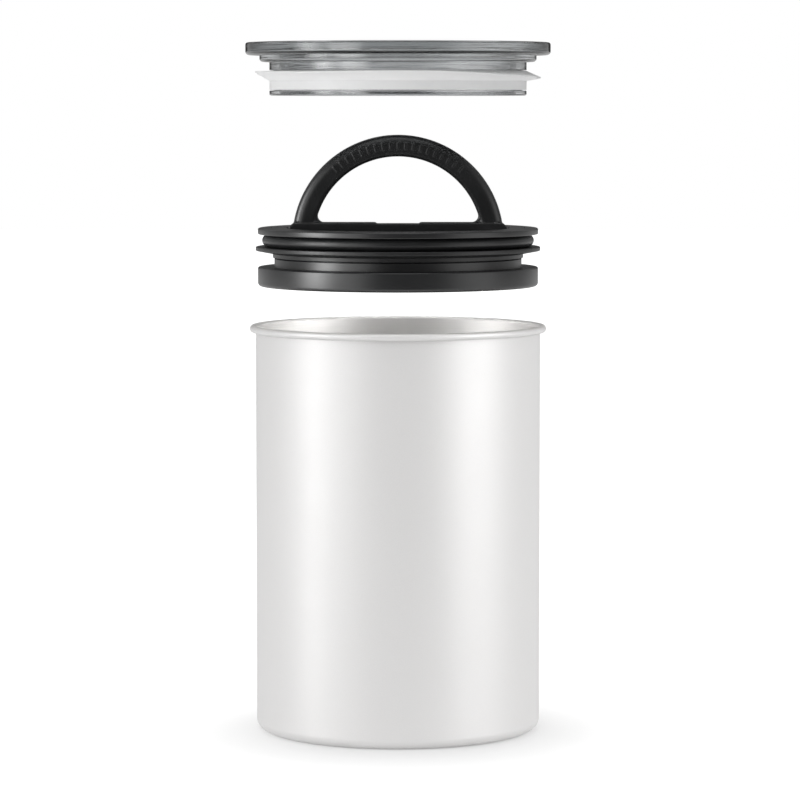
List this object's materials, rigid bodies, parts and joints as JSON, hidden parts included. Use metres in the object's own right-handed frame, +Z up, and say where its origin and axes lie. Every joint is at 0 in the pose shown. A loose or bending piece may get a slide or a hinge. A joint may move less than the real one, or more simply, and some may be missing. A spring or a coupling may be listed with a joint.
{
  "type": "coffee canister",
  "caption": "Round coated steel coffee canister, taken apart: inner air-release lid with folding bail handle, and smoky clear outer lid with silicone gasket.",
  "frame": {"origin": "centre of the canister's flat underside", "axes": "+Z up along the canister's axis; X along the bail handle's pivot; the handle folds towards +Y, and the picture looks along +Y"},
  "size_m": [0.1292, 0.1292, 0.2923],
  "materials": {
    "coated_steel": "white pearl gloss coating outside, bare brushed steel inside",
    "smoky_clear_plastic": "polished, grey and see-through",
    "white_silicone": "soft, milky, faintly see-through",
    "black_plastic": "satin",
    "black_silicone": "dull satin",
    "natural_plastic": "smooth, uncoloured",
    "clear_silicone": "soft",
    "spring_steel": "drawn wire"
  },
  "bodies": {
    "canister": {"canister_shell": "coated_steel"},
    "outer_lid": {"outer_lid_shell": "smoky_clear_plastic", "outer_lid_gasket": "white_silicone"},
    "inner_lid": {"inner_lid_top": "black_plastic", "inner_lid_base": "black_plastic", "wiper_seal": "black_silicone", "bead_seal": "black_silicone", "pivot_cap_left": "black_plastic", "pivot_cap_right": "black_plastic", "valve_spring": "spring_steel"},
    "handle": {"handle": "black_plastic"},
    "valve": {"valve_stem": "natural_plastic", "valve_disc": "clear_silicone"}
  },
  "joints": [
    {"name": "outer_lid_lift", "type": "slide", "parent": "canister", "child": "outer_lid", "axis": [0, 0, 1], "range_m": [-0.1139, 0], "deforming": ["outer_lid_gasket"]},
    {"name": "inner_lid_slide", "type": "slide", "parent": "outer_lid", "child": "inner_lid", "axis": [0, 0, 1], "range_m": [-0.0735, 0], "deforming": ["wiper_seal"]},
    {"name": "handle_fold", "type": "hinge", "parent": "inner_lid", "child": "handle", "pos_m": [0, 0, 0.2102], "axis": [-1, 0, 0], "range_deg": [0, 90]},
    {"name": "valve_slide", "type": "slide", "parent": "inner_lid", "child": "valve", "axis": [0, 0, 1], "range_m": [-0.002, 0], "deforming": ["valve_spring"]}
  ],
  "couplings": [
    {"joint": "valve_slide", "follows": "handle_fold", "m_per_rad": -0.001273}
  ]
}
